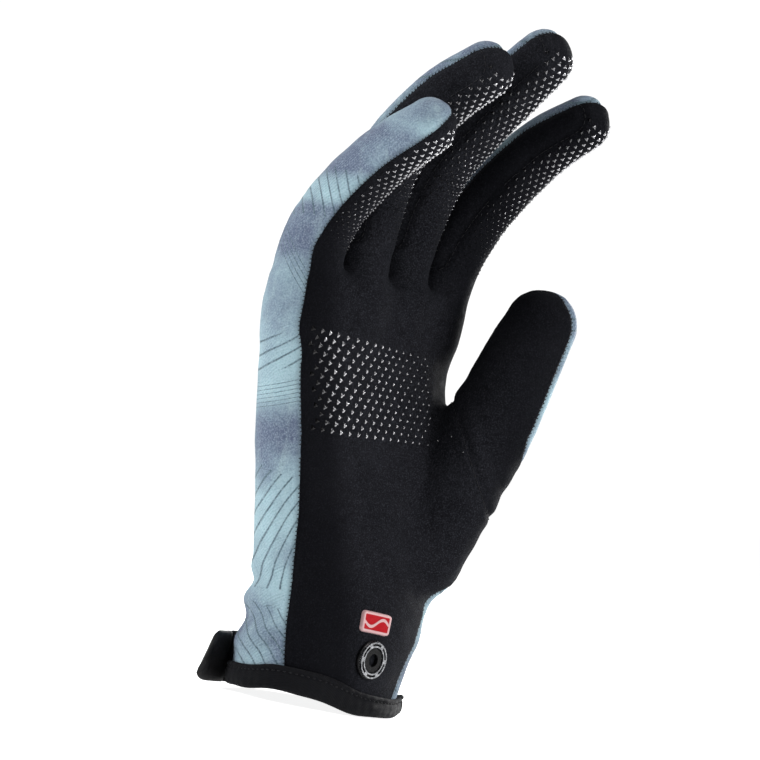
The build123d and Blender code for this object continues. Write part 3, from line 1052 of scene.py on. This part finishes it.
def make_badge():
    """A plain moulded plate: pale rim, red field and one raised wave."""
    low, high = (np.array(c) * 1000 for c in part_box("badge"))
    mid, half = (low + high) / 2, (high - low) / 2 * (0.95, 1, 0.88)
    nx, nz = 61, 37
    u, v = np.meshgrid(np.linspace(-1, 1, nx), np.linspace(-1, 1, nz), indexing="ij")
    corner = 1.3
    x, z = u * half[0], v * half[2]
    reach_x, reach_z = half[0] - corner, half[2] - corner

    def past_corner():
        return np.hypot(np.maximum(np.abs(x) - reach_x, 0), np.maximum(np.abs(z) - reach_z, 0))

    over = past_corner()
    pull = np.where(over > corner, corner / np.maximum(over, 1e-6), 1)
    x = np.sign(x) * (np.minimum(np.abs(x), reach_x) + np.maximum(np.abs(x) - reach_x, 0) * pull)
    z = np.sign(z) * (np.minimum(np.abs(z), reach_z) + np.maximum(np.abs(z) - reach_z, 0) * pull)
    edge = np.minimum(corner - past_corner(), np.minimum(half[0] - np.abs(x), half[2] - np.abs(z)))
    rim = below(edge, 1.15, 0.3)
    wave = smoothstep((0.62 - np.abs(z - 1.3 * np.sin(x * 0.62))) / 0.28) * (1 - rim)
    height = 0.75 * smoothstep(edge / 0.35) + 0.35 * rim * smoothstep(edge / 0.3) + 0.3 * wave
    x, z = x.ravel(), z.ravel()
    p = np.stack([mid[0] + x + 0.06 * z, np.full(x.size, mid[1]), mid[2] + z - 0.05 * x], 1)
    placed, n, _ = settle(p)
    top = placed + n * (height.ravel() + 0.05)[:, None]
    quads = []
    for i in range(nx - 1):
        for k in range(nz - 1):
            a = i * nz + k
            quads += [(a, a + nz, a + nz + 1), (a, a + nz + 1, a + 1)]
    points, faces, _ = shell(top, n, np.array(quads), 0.6)
    pale = np.tile(np.maximum(rim, wave).ravel(), 2)
    obj = mesh_object("badge_plate", points, faces, "badge", "badge", {"pale": pale})
    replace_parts(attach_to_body(obj, "hand"), "badge")


# ---- wrist strap: angles in degrees round the wrist as in the CAD, heights and distances out in mm
WRIST = (0.0, 0.4, 31.0, 21.0)  # centre and half widths of the oval that the strap goes round
CORNER = 3.2  # radius of the corners of the tab's free end
STRAP_LOW, STRAP_HIGH = -3, 13
STRAP_INSIDE, STRAP_OUTSIDE = 2.0, 3.6
ROW_LOW, ROW_HIGH = -1.6, 11.6


def round_strap(t, d, z):
    """The point d out from the wrist's oval at an angle t in radians, at height z."""
    x0, y0, a, b = WRIST
    return x0 + (a + d) * np.cos(t), y0 + (b + d) * np.sin(t), z


def band(name, ends, faces, heights, finish, slot, lift=None, ribs=None, steps=48, corner=0):
    """A curved plate with rounded edges. lift(share, height) moves it out and ribs raises its outer face.
    corner is the share of its length that the rounded corners of its free end take up."""
    (start, end), (inside, outside), (low, high) = ends, faces, heights
    rings = []
    thick = outside - inside
    flat = np.linspace(0.1, 0.9, 9)
    loop = [(0.25, 0.0), (0.0, 0.04)] + [(0.0, s) for s in flat] + [(0.0, 0.96), (0.25, 1.0)]
    loop += [(0.75, 1.0), (1.0, 0.96)] + [(1.0, s) for s in flat[::-1]] + [(1.0, 0.04), (0.75, 0.0)]
    for i in range(steps + 1):
        share = i / steps
        t = math.radians(start + (end - start) * share)
        pinch = 0.25 + 0.75 * float(smoothstep(min(share, 1 - share) * steps / 3.2))
        turn = max(0.0, (share - 1 + corner) / corner) if corner else 0.0
        inset = CORNER * (1 - math.sqrt(max(0.0, 1 - turn * turn)))
        ring = []
        for depth, height in loop:
            z = low + inset + (high - low - 2 * inset) * height
            d = inside + thick * (0.5 + (depth - 0.5) * pinch)
            if lift:
                d += lift(share, height)
            if ribs and depth > 0.9 and 0.08 < height < 0.92:
                d += ribs(share, height)
            ring.append(round_strap(t, d, z))
        rings.append(ring)
    return sweep(name, rings, finish, slot, False)


def make_strap():
    whole = (STRAP_LOW, STRAP_HIGH)

    def cloth_rib(share, height):
        return 0.1 * math.sin(height * math.pi * 14)

    def tab_rib(share, height):
        return 0.45 * max(0.0, math.sin(share * math.pi * 13)) if 0.1 < share < 0.9 else 0.0

    def tab_lift(share, height):
        return share**2 * (4.0 + 3.4 * (1 - height))

    sewn, faces = (0.2, STRAP_OUTSIDE), (STRAP_INSIDE, STRAP_OUTSIDE)
    web, gum = ("webbing", "webbing"), ("rubber", "strap_rubber")
    anchor = band("strap_anchor_fold", (26, 38.4), sewn, whole, *web, ribs=cloth_rib, steps=16)
    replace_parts(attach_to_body(anchor, "hand"), "strap_anchor")
    strap = band("strap_webbing", (41.4, 126.3), faces, whole, *web, ribs=cloth_rib, steps=110)
    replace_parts(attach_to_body(strap, "strap"), "strap_band")
    tab = band("strap_pull_tab", (129.6, 152), faces, whole, *gum, tab_lift, tab_rib, 88, 0.26)
    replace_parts(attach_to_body(tab, "tab"), "pull_tab")
    loop = pile("strap_loop_pile", 58, 122, 0.5, "loop", "loop_pile", 0.5, 1.15, "hand")
    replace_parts(loop, "loop_patch")
    hooks = pile("strap_hooks", 70, 118, 1.95, "hooks", "hook_tape", -0.45, 1.05, "strap")
    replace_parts(hooks, "hook_patch")
    bridge("strap_root_web", "strap_open", 40, "hand", "strap", *web)
    bridge("tab_root_web", "tab_lift", 128, "strap", "tab", *gum)
    strap_stitches()


def bridge(name, joint, angle, before, after, finish, slot):
    """A thin strip laid across one of the strap's hinges, with its placement baked into its points."""
    t = math.radians(angle)
    way = unit((-WRIST[2] * math.sin(t), WRIST[3] * math.cos(t), 0))
    middle = joint_point(joint)
    strip = band(name, (angle - 2.8, angle + 2.8), (2.45, 3.15), (-2.6, 12.6), finish, slot, steps=24)
    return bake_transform(strip)


def pile(name, start, end, base, finish, slot, reach, pitch, body):
    """A thin backing with rows of short raised threads on it: loops or hooks."""
    low, high = 4.6, 12.4
    rows = np.arange(low + 0.6, high - 0.4, pitch)
    angles = np.arange(start + 1, end - 0.8, 2.1)
    t, z = np.meshgrid(np.radians(angles), rows, indexing="ij")
    t = t + np.radians(1.0) * (np.arange(len(rows)) % 2)[None]
    t, z = t.ravel(), z.ravel()
    steps = np.array([(0, 0), (0.25, 0.7), (0.5, 1.0), (0.75, 0.75), (0.9, 0.3)])
    turn = t[:, None] + np.radians(1.3) * steps[None, :, 0]
    d = base + reach * steps[None, :, 1]
    lines = np.stack(round_strap(turn, d, np.broadcast_to(z[:, None], turn.shape)), 2)
    ups = np.zeros_like(lines)
    ups[..., 2] = 1
    points, faces = tubes(lines, ups, [0.13, 0.14, 0.14, 0.13, 0.1], 5)
    tape = (-0.4, 0.55) if reach > 0 else (1.9, 2.1)
    backing = band(name + "_tape", (start, end), tape, (low, high), finish, slot, steps=40)
    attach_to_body(backing, body)
    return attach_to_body(mesh_object(name, points, faces, finish, slot), body)


def strap_stitches():
    """Box-and-cross stitching where the webbing is sewn down, and a row along each selvedge."""

    def row(a0, z0, a1, z1, d):
        length = math.hypot((a1 - a0) * 0.5, z1 - z0)
        count = max(2, int(length / 2.0))
        share = (np.arange(count)[:, None] + np.linspace(0.1, 0.78, 5)[None]) / count
        rise = np.array([0, 0.16, 0.2, 0.16, 0])[None]
        return np.stack(round_strap(np.radians(a0 + (a1 - a0) * share), d + rise, z0 + (z1 - z0) * share), -1)

    left, right, low, high = 27.6, 35.2, -1.5, 11.5
    box = [(left, low, left, high), (right, low, right, high), (left, low, right, low),
           (left, high, right, high), (left, low, right, high), (right, low, left, high)]
    long_rows = [(44, ROW_LOW, 123, ROW_LOW), (44, ROW_HIGH, 123, ROW_HIGH),
                 (44.6, ROW_LOW, 44.6, ROW_HIGH), (122.4, ROW_LOW, 122.4, ROW_HIGH)]
    sewn = ("strap_anchor_stitching", "hand", box), ("strap_stitching", "strap", long_rows)
    for name, body, lines in sewn:
        runs = np.vstack([row(*line, 3.68) for line in lines])
        ups = np.cross(np.gradient(runs, axis=1), np.array((0.31, 0.22, 0.9)))
        points, faces = tubes(runs, ups, THREAD)
        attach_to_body(mesh_object(name, points, faces, "thread", "webbing"), body)


# ---- finishes
class Paint:
    """Short names for the shader nodes that a finish uses."""

    def __init__(self, name, **sockets):
        self.material = bpy.data.materials.new(name)
        self.material.use_nodes = True
        self.tree = self.material.node_tree
        self.shader = self.tree.nodes["Principled BSDF"]
        for key, value in sockets.items():
            self.shader.inputs[key.replace("_", " ")].default_value = value

    def node(self, kind, inputs, out=0, **settings):
        n = self.tree.nodes.new("ShaderNode" + kind)
        for key, value in settings.items():
            setattr(n, key, value)
        for key, value in inputs.items():
            if isinstance(value, bpy.types.NodeSocket):
                self.tree.links.new(value, n.inputs[key])
            else:
                n.inputs[key].default_value = value
        return n.outputs[out]

    def value(self, name):
        return self.node("Attribute", {}, "Fac", attribute_name=name)

    def place(self, cad=False):
        """Position in mm: the rest position of a sewn piece, or the place in a CAD node."""
        if not cad:
            return self.node("Attribute", {}, "Vector", attribute_name="rest")
        at = self.node("TexCoord", {}, "Object")
        return self.node("VectorMath", {0: at, "Scale": 1000.0}, 0, operation="SCALE")

    def noise(self, at, scale, detail=3.0, roughness=0.55):
        return self.node("TexNoise", {"Vector": at, "Scale": scale, "Detail": detail, "Roughness": roughness})

    def math(self, operation, a, b=0.0, clamp=False):
        return self.node("Math", {0: a, 1: b}, 0, operation=operation, use_clamp=clamp)

    def weighted(self, a, weight_a, b, weight_b):
        return self.math("ADD", self.math("MULTIPLY", a, weight_a), self.math("MULTIPLY", b, weight_b))

    def spread(self, a, low, high, to_low=0.0, to_high=1.0):
        """a from low..high to to_low..to_high, smoothly and no further."""
        ends = {0: a, 1: low, 2: high, 3: to_low, 4: to_high}
        return self.node("MapRange", ends, interpolation_type="SMOOTHSTEP")

    def blend(self, share, a, b):
        """Colour a, turning to b as share goes from 0 to 1. A colour of numbers is red, green and blue."""
        a, b = ((*c, 1) if isinstance(c, tuple) else c for c in (a, b))
        return self.node("Mix", {0: share, 6: a, 7: b}, 2, data_type="RGBA")

    def wave(self, at, scale, axis, distortion=0.0):
        inputs = {"Vector": at, "Scale": scale, "Distortion": distortion, "Detail": 1.0}
        return self.node("TexWave", inputs, 1, bands_direction=axis)

    def finish(self, colour=None, roughness=None, height=None, depth=0.1):
        """Joins up the shader's colour, roughness and bump, depth mm deep, and gives the material."""
        for key, value in (("Base Color", colour), ("Roughness", roughness)):
            if value is not None:
                self.tree.links.new(value, self.shader.inputs[key])
        if height is not None:
            bump = self.node("Bump", {"Height": height, "Distance": depth * MM, "Strength": 1.0})
            self.tree.links.new(bump, self.shader.inputs["Normal"])
        return self.material


def suede():
    """Black synthetic suede: mottled, with a pale short nap, and painted shade towards the little-finger side
    and towards the index-finger side.
    """
    p = Paint("suede", Sheen_Weight=0.01, Sheen_Roughness=0.45, Specular_IOR_Level=0.04,
              Sheen_Tint=(0.8, 0.85, 1, 1))
    at = p.place()
    broad, mottled, nap = p.noise(at, 0.045), p.noise(at, 0.55, 4.0), p.noise(at, 2.1, 3.0, 0.75)
    tone = p.weighted(broad, 0.45, mottled, 0.55)
    colour = p.blend(p.spread(tone, 0.34, 0.66), (0.0042, 0.0045, 0.006), (0.0105, 0.011, 0.0138))
    speck = p.spread(nap, 0.46, 0.7)
    colour = p.blend(p.math("MULTIPLY", speck, 0.6), colour, (0.036, 0.0375, 0.046))
    x, z = (p.node("SeparateXYZ", {"Vector": at}, axis) for axis in "XZ")
    across = p.math("ADD", x, p.math("MULTIPLY", z, 0.19))
    # painted shade: the colour turns darker towards the little-finger side of the palm and towards the
    # index-finger side
    edges = p.math("ADD", p.spread(across, -10.5, 1.0, 0.72, 0.0), p.spread(across, 42.0, 54.0, 0.0, 0.6))
    colour = p.blend(edges, colour, (0.0022, 0.0023, 0.0034))
    height = p.weighted(nap, 0.7, mottled, 0.5)
    return p.finish(colour, p.spread(mottled, 0.3, 0.7, 0.78, 0.95), height, 0.24)


def knit():
    """Printed stretch knit: cloudy aqua and slate, thin contour lines, and worn, fuzzy wales and courses,
    with painted shade along the seam and on the fingertips.
    """
    p = Paint("knit", Sheen_Weight=0.12, Sheen_Roughness=0.5, Specular_IOR_Level=0.2)
    at = p.place()
    cloudy = p.noise(at, 0.11, 4.0)
    tone = p.math("ADD", p.value("tone"), p.math("MULTIPLY", p.math("SUBTRACT", cloudy, 0.5), 1.1), True)
    colour = p.blend(tone, (0.33, 0.485, 0.545), (0.086, 0.11, 0.185))
    streak = p.noise(p.node("VectorMath", {0: at, 1: (0.6, 0.6, 0.09)}, 0, operation="MULTIPLY"), 0.6, 3.0)
    colour = p.blend(p.spread(streak, 0.52, 0.8, 0.0, 0.4), colour, (0.36, 0.48, 0.51))
    band = p.math("ABSOLUTE", p.math("SUBTRACT", p.math("FRACT", p.value("contour")), 0.5))
    line = p.math("MULTIPLY", p.spread(band, 0.13, 0.03), p.spread(p.value("drawn"), 0.45, 0.75))
    line = p.math("MULTIPLY", line, p.spread(p.noise(at, 0.5), 0.25, 0.55, 0.5, 0.95))
    colour = p.blend(line, colour, (0.04, 0.08, 0.105))
    wale, course = p.wave(at, 0.55, "DIAGONAL", 0.8), p.wave(at, 0.66, "Z", 0.9)
    fuzz = p.noise(at, 1.9, 3.0, 0.75)
    colour = p.blend(p.spread(fuzz, 0.4, 0.72, 0.0, 0.42), colour, (0.45, 0.57, 0.63))
    colour = p.blend(p.spread(fuzz, 0.5, 0.3, 0.0, 0.3), colour, (0.06, 0.1, 0.14))
    # painted shade: the knit is darkened within about 1.5 mm of the seam, along the seam's valley
    colour = p.blend(p.spread(p.value("seam"), 1.5, 0.2, 0.0, 0.45), colour, (0.08, 0.12, 0.14))
    height = p.weighted(wale, 0.5, course, 0.35)
    height = p.math("ADD", height, p.math("MULTIPLY", fuzz, 0.6))
    return p.finish(colour, p.spread(fuzz, 0.3, 0.7, 0.7, 0.9), height, 0.17)


def silicone():
    """Glossy print, with painted glint and painted shade: bright metal colour where a dot's painted glint is
    1, near black where it is 0.
    """
    p = Paint("silicone", Metallic=0.95, Specular_IOR_Level=0.5, Coat_Weight=0.12, Coat_Roughness=0.08,
              Coat_IOR=1.8)
    worn = p.noise(p.place(), 0.9, 4.0)
    colour = p.blend(worn, (0.42, 0.42, 0.44), (0.62, 0.62, 0.64))
    # painted glint and painted shade: the colour goes from near black to bright metal with each dot's painted
    # glint value
    colour = p.blend(p.value("painted_glint"), (0.004, 0.004, 0.005), colour)
    return p.finish(colour, p.spread(worn, 0.3, 0.7, 0.1, 0.2), p.noise(p.place(), 3.0), 0.03)


def woven(name, dark, light, scale, depth, sheen):
    """Close-woven black cloth: ribs one way and fainter courses the other, dusty on the high spots."""
    p = Paint(name, Sheen_Weight=sheen, Sheen_Roughness=0.4, Specular_IOR_Level=0.12)
    at = p.place()
    ribs, courses = p.wave(at, scale, "Z", 0.4), p.wave(at, scale * 0.8, "DIAGONAL", 0.6)
    dust = p.noise(at, 0.7, 4.0)
    height = p.weighted(ribs, 0.6, courses, 0.4)
    share = p.math("MULTIPLY", p.spread(height, 0.2, 0.8), p.spread(dust, 0.3, 0.7))
    return p.finish(p.blend(share, dark, light), p.spread(dust, 0.3, 0.7, 0.62, 0.85), height, depth)


def thread():
    p = Paint("thread", Specular_IOR_Level=0.2)
    at = p.place()
    twist = p.wave(at, 1.5, "DIAGONAL", 0.3)
    colour = p.blend(twist, (0.005, 0.005, 0.006), (0.016, 0.016, 0.019))
    return p.finish(colour, p.spread(twist, 0, 1, 0.45, 0.65), twist, 0.05)


def badge():
    p = Paint("badge", Coat_Weight=0.04, Coat_Roughness=0.3, Specular_IOR_Level=0.12)
    at = p.place()
    worn = p.noise(at, 1.1, 4.0)
    field = p.blend(worn, (0.34, 0.003, 0.008), (0.44, 0.008, 0.016))
    pale = p.blend(worn, (0.6, 0.47, 0.47), (0.62, 0.3, 0.31))
    colour = p.blend(p.spread(p.value("pale"), 0.35, 0.65), field, pale)
    return p.finish(colour, p.spread(worn, 0.3, 0.7, 0.32, 0.5), p.noise(at, 2.5), 0.03)


def rubber():
    p = Paint("rubber", Specular_IOR_Level=0.4)
    at = p.place()
    dust, grain = p.noise(at, 0.4, 5.0), p.noise(at, 5.0, 2.0)
    colour = p.blend(p.spread(dust, 0.45, 0.75, 0.0, 0.6), (0.007, 0.007, 0.008), (0.024, 0.024, 0.026))
    return p.finish(colour, p.spread(dust, 0.3, 0.7, 0.42, 0.66), grain, 0.05)


def enamel():
    p = Paint("enamel", Coat_Weight=0.1, Coat_Roughness=0.12, Specular_IOR_Level=0.15)
    at = p.place(True)
    chip = p.noise(at, 0.9, 5.0)
    colour = p.blend(p.spread(chip, 0.66, 0.74), (0.003, 0.003, 0.0035), (0.05, 0.05, 0.055))
    return p.finish(colour, p.spread(chip, 0.3, 0.8, 0.25, 0.45), p.noise(at, 4.0), 0.02)


def nickel():
    p = Paint("nickel", Metallic=1.0)
    at = p.place(True)
    worn, scratch = p.noise(at, 0.8, 5.0), p.wave(at, 2.2, "DIAGONAL", 6.0)
    colour = p.blend(p.spread(worn, 0.35, 0.7), (0.26, 0.265, 0.28), (0.6, 0.61, 0.63))
    return p.finish(colour, p.spread(worn, 0.3, 0.7, 0.16, 0.34), scratch, 0.012)


FINISHES = {
    "suede": suede(), "knit": knit(), "silicone": silicone(), "thread": thread(), "badge": badge(),
    "rubber": rubber(),
    "binding": woven("binding", (0.0022, 0.0024, 0.0036), (0.0075, 0.008, 0.0105), 1.1, 0.14, 0.015),
    "webbing": woven("webbing", (0.004, 0.004, 0.005), (0.014, 0.014, 0.016), 0.7, 0.2, 0.04),
    "loop": woven("loop", (0.012, 0.012, 0.014), (0.035, 0.035, 0.04), 1.6, 0.1, 0.4),
    "hooks": rubber(), "enamel": enamel(), "nickel": nickel(),
}
CLOTH_MESH, PANELS = make_panels()
stand_in(PANELS)
# the steps of an overlocked stitch and of a running one: across the seam, along it and out from the cloth
TOOTH = [(-0.3, -0.2, 0.0), (-0.1, -0.1, 0.1), (0.1, 0.0, 0.13), (0.28, 0.1, 0.1), (0.44, 0.18, -0.03)]
RUN = [(-0.75, -0.75, 0.0), (-0.75, -0.4, 0.16), (-0.75, 0.0, 0.2), (-0.75, 0.4, 0.16), (-0.75, 0.75, 0.0)]
stitches(CLOTH_MESH, "overlock", back_field, 1.3, TOOTH, 0.14)
stitches(CLOTH_MESH, "strip_seam", side_field, 1.9, RUN, 0.1, lambda p: back_of(p) < -0.6)
stitches(CLOTH_MESH, "thumb_seam", thumb_field, 1.9, RUN, 0.1, lambda p: back_of(p) < -0.6)
make_grip()
make_binding()
make_badge()
make_strap()
STUD = {"stud_base": "enamel", "stud_socket": "enamel", "stud_ring": "nickel", "stud_backing": "nickel"}
for node, finish in STUD.items():
    obj = frame["nodes"][node]
    obj.data.materials.clear()
    obj.data.materials.append(FINISHES[finish])

# ---- studio: the camera stands and leans as in the photograph
AZIMUTH, LEAN = math.radians(48), math.radians(12)
CAMERA_AWAY = 1.4
across = Vector((math.cos(AZIMUTH), -math.sin(AZIMUTH), 0))
back = Vector((-math.sin(AZIMUTH), -math.cos(AZIMUTH), 0))
right = across * math.cos(LEAN) + Vector((0, 0, math.sin(LEAN)))
up = -across * math.sin(LEAN) + Vector((0, 0, math.cos(LEAN)))
target = across * 0.00066 + Vector((0, 0, 0.0984))
camera = bpy.data.objects.new("camera", bpy.data.cameras.new("camera"))
camera.data.sensor_width, camera.data.lens = 36.0, 213.9
camera.matrix_world = Matrix((
    (right.x, up.x, back.x, 0), (right.y, up.y, back.y, 0), (right.z, up.z, back.z, 0), (0, 0, 0, 1)))
camera.location = target + back * CAMERA_AWAY
bpy.context.scene.collection.objects.link(camera)
bpy.context.scene.camera = camera


def light(name, sideways, height, depth, size, power, tall=None):
    """A soft light, size wide. sideways is along the picture, depth towards the camera, in metres."""
    lamp = bpy.data.lights.new(name, "AREA")
    lamp.shape = "RECTANGLE"
    lamp.size, lamp.size_y, lamp.energy = size, tall or size, power
    obj = bpy.data.objects.new(name, lamp)
    obj.location = target + across * sideways + back * depth + Vector((0, 0, height))
    obj.rotation_mode = "QUATERNION"
    obj.rotation_quaternion = (target - obj.location).to_track_quat("-Z", "Y")
    bpy.context.scene.collection.objects.link(obj)


light("light_left", -0.9, 0.3, 0.15, 0.35, 7.0)
light("light_right", 0.8, 0.3, 0.4, 0.3, 5.0)
light("light_rim", 0.6, 0.05, -0.85, 0.3, 16.0, 0.9)
light("light_top", 0.15, 0.9, 0.0, 0.4, 3.0)
light("light_front", 0.1, 0.45, 0.95, 0.35, 1.2)
world = bpy.data.worlds.new("studio")
world.use_nodes = True
sky = world.node_tree.nodes["Background"]
sky.inputs[0].default_value = (1, 1, 1, 1)
shown = world.node_tree.nodes.new("ShaderNodeMapRange")
# how bright the world is as light, and as the picture's backdrop
shown.inputs["To Min"].default_value, shown.inputs["To Max"].default_value = 0.15, 1.05
ray = world.node_tree.nodes.new("ShaderNodeLightPath")
world.node_tree.links.new(ray.outputs["Is Camera Ray"], shown.inputs["Value"])
world.node_tree.links.new(shown.outputs[0], sky.inputs[1])
bpy.context.scene.world = world
bpy.context.scene.view_settings.view_transform = "Standard"

floor_mesh = bpy.data.meshes.new("floor")
wide, drop = 4.0, min(CAD_BOX[0].z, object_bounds()[0].z) - 0.0004
corners = [(x * wide, y * wide, drop) for x, y in ((-1, -1), (1, -1), (1, 1), (-1, 1))]
floor_mesh.from_pydata(corners, [], [(0, 1, 2, 3)])
floor = bpy.data.objects.new("floor", floor_mesh)
bpy.context.scene.collection.objects.link(floor)
WHITE = (1, 1, 1, 1)
ground = Paint(
    "floor", Base_Color=(0.9, 0.9, 0.9, 1), Specular_IOR_Level=0.0, Roughness=0.9, Emission_Color=WHITE)
seen = ground.node("LightPath", {}, "Is Camera Ray")
ground.tree.links.new(ground.spread(seen, 0, 1, 0.3, 0.88), ground.shader.inputs["Emission Strength"])
floor_mesh.materials.append(ground.finish(height=ground.noise(ground.place(True), 0.05), depth=0.02))
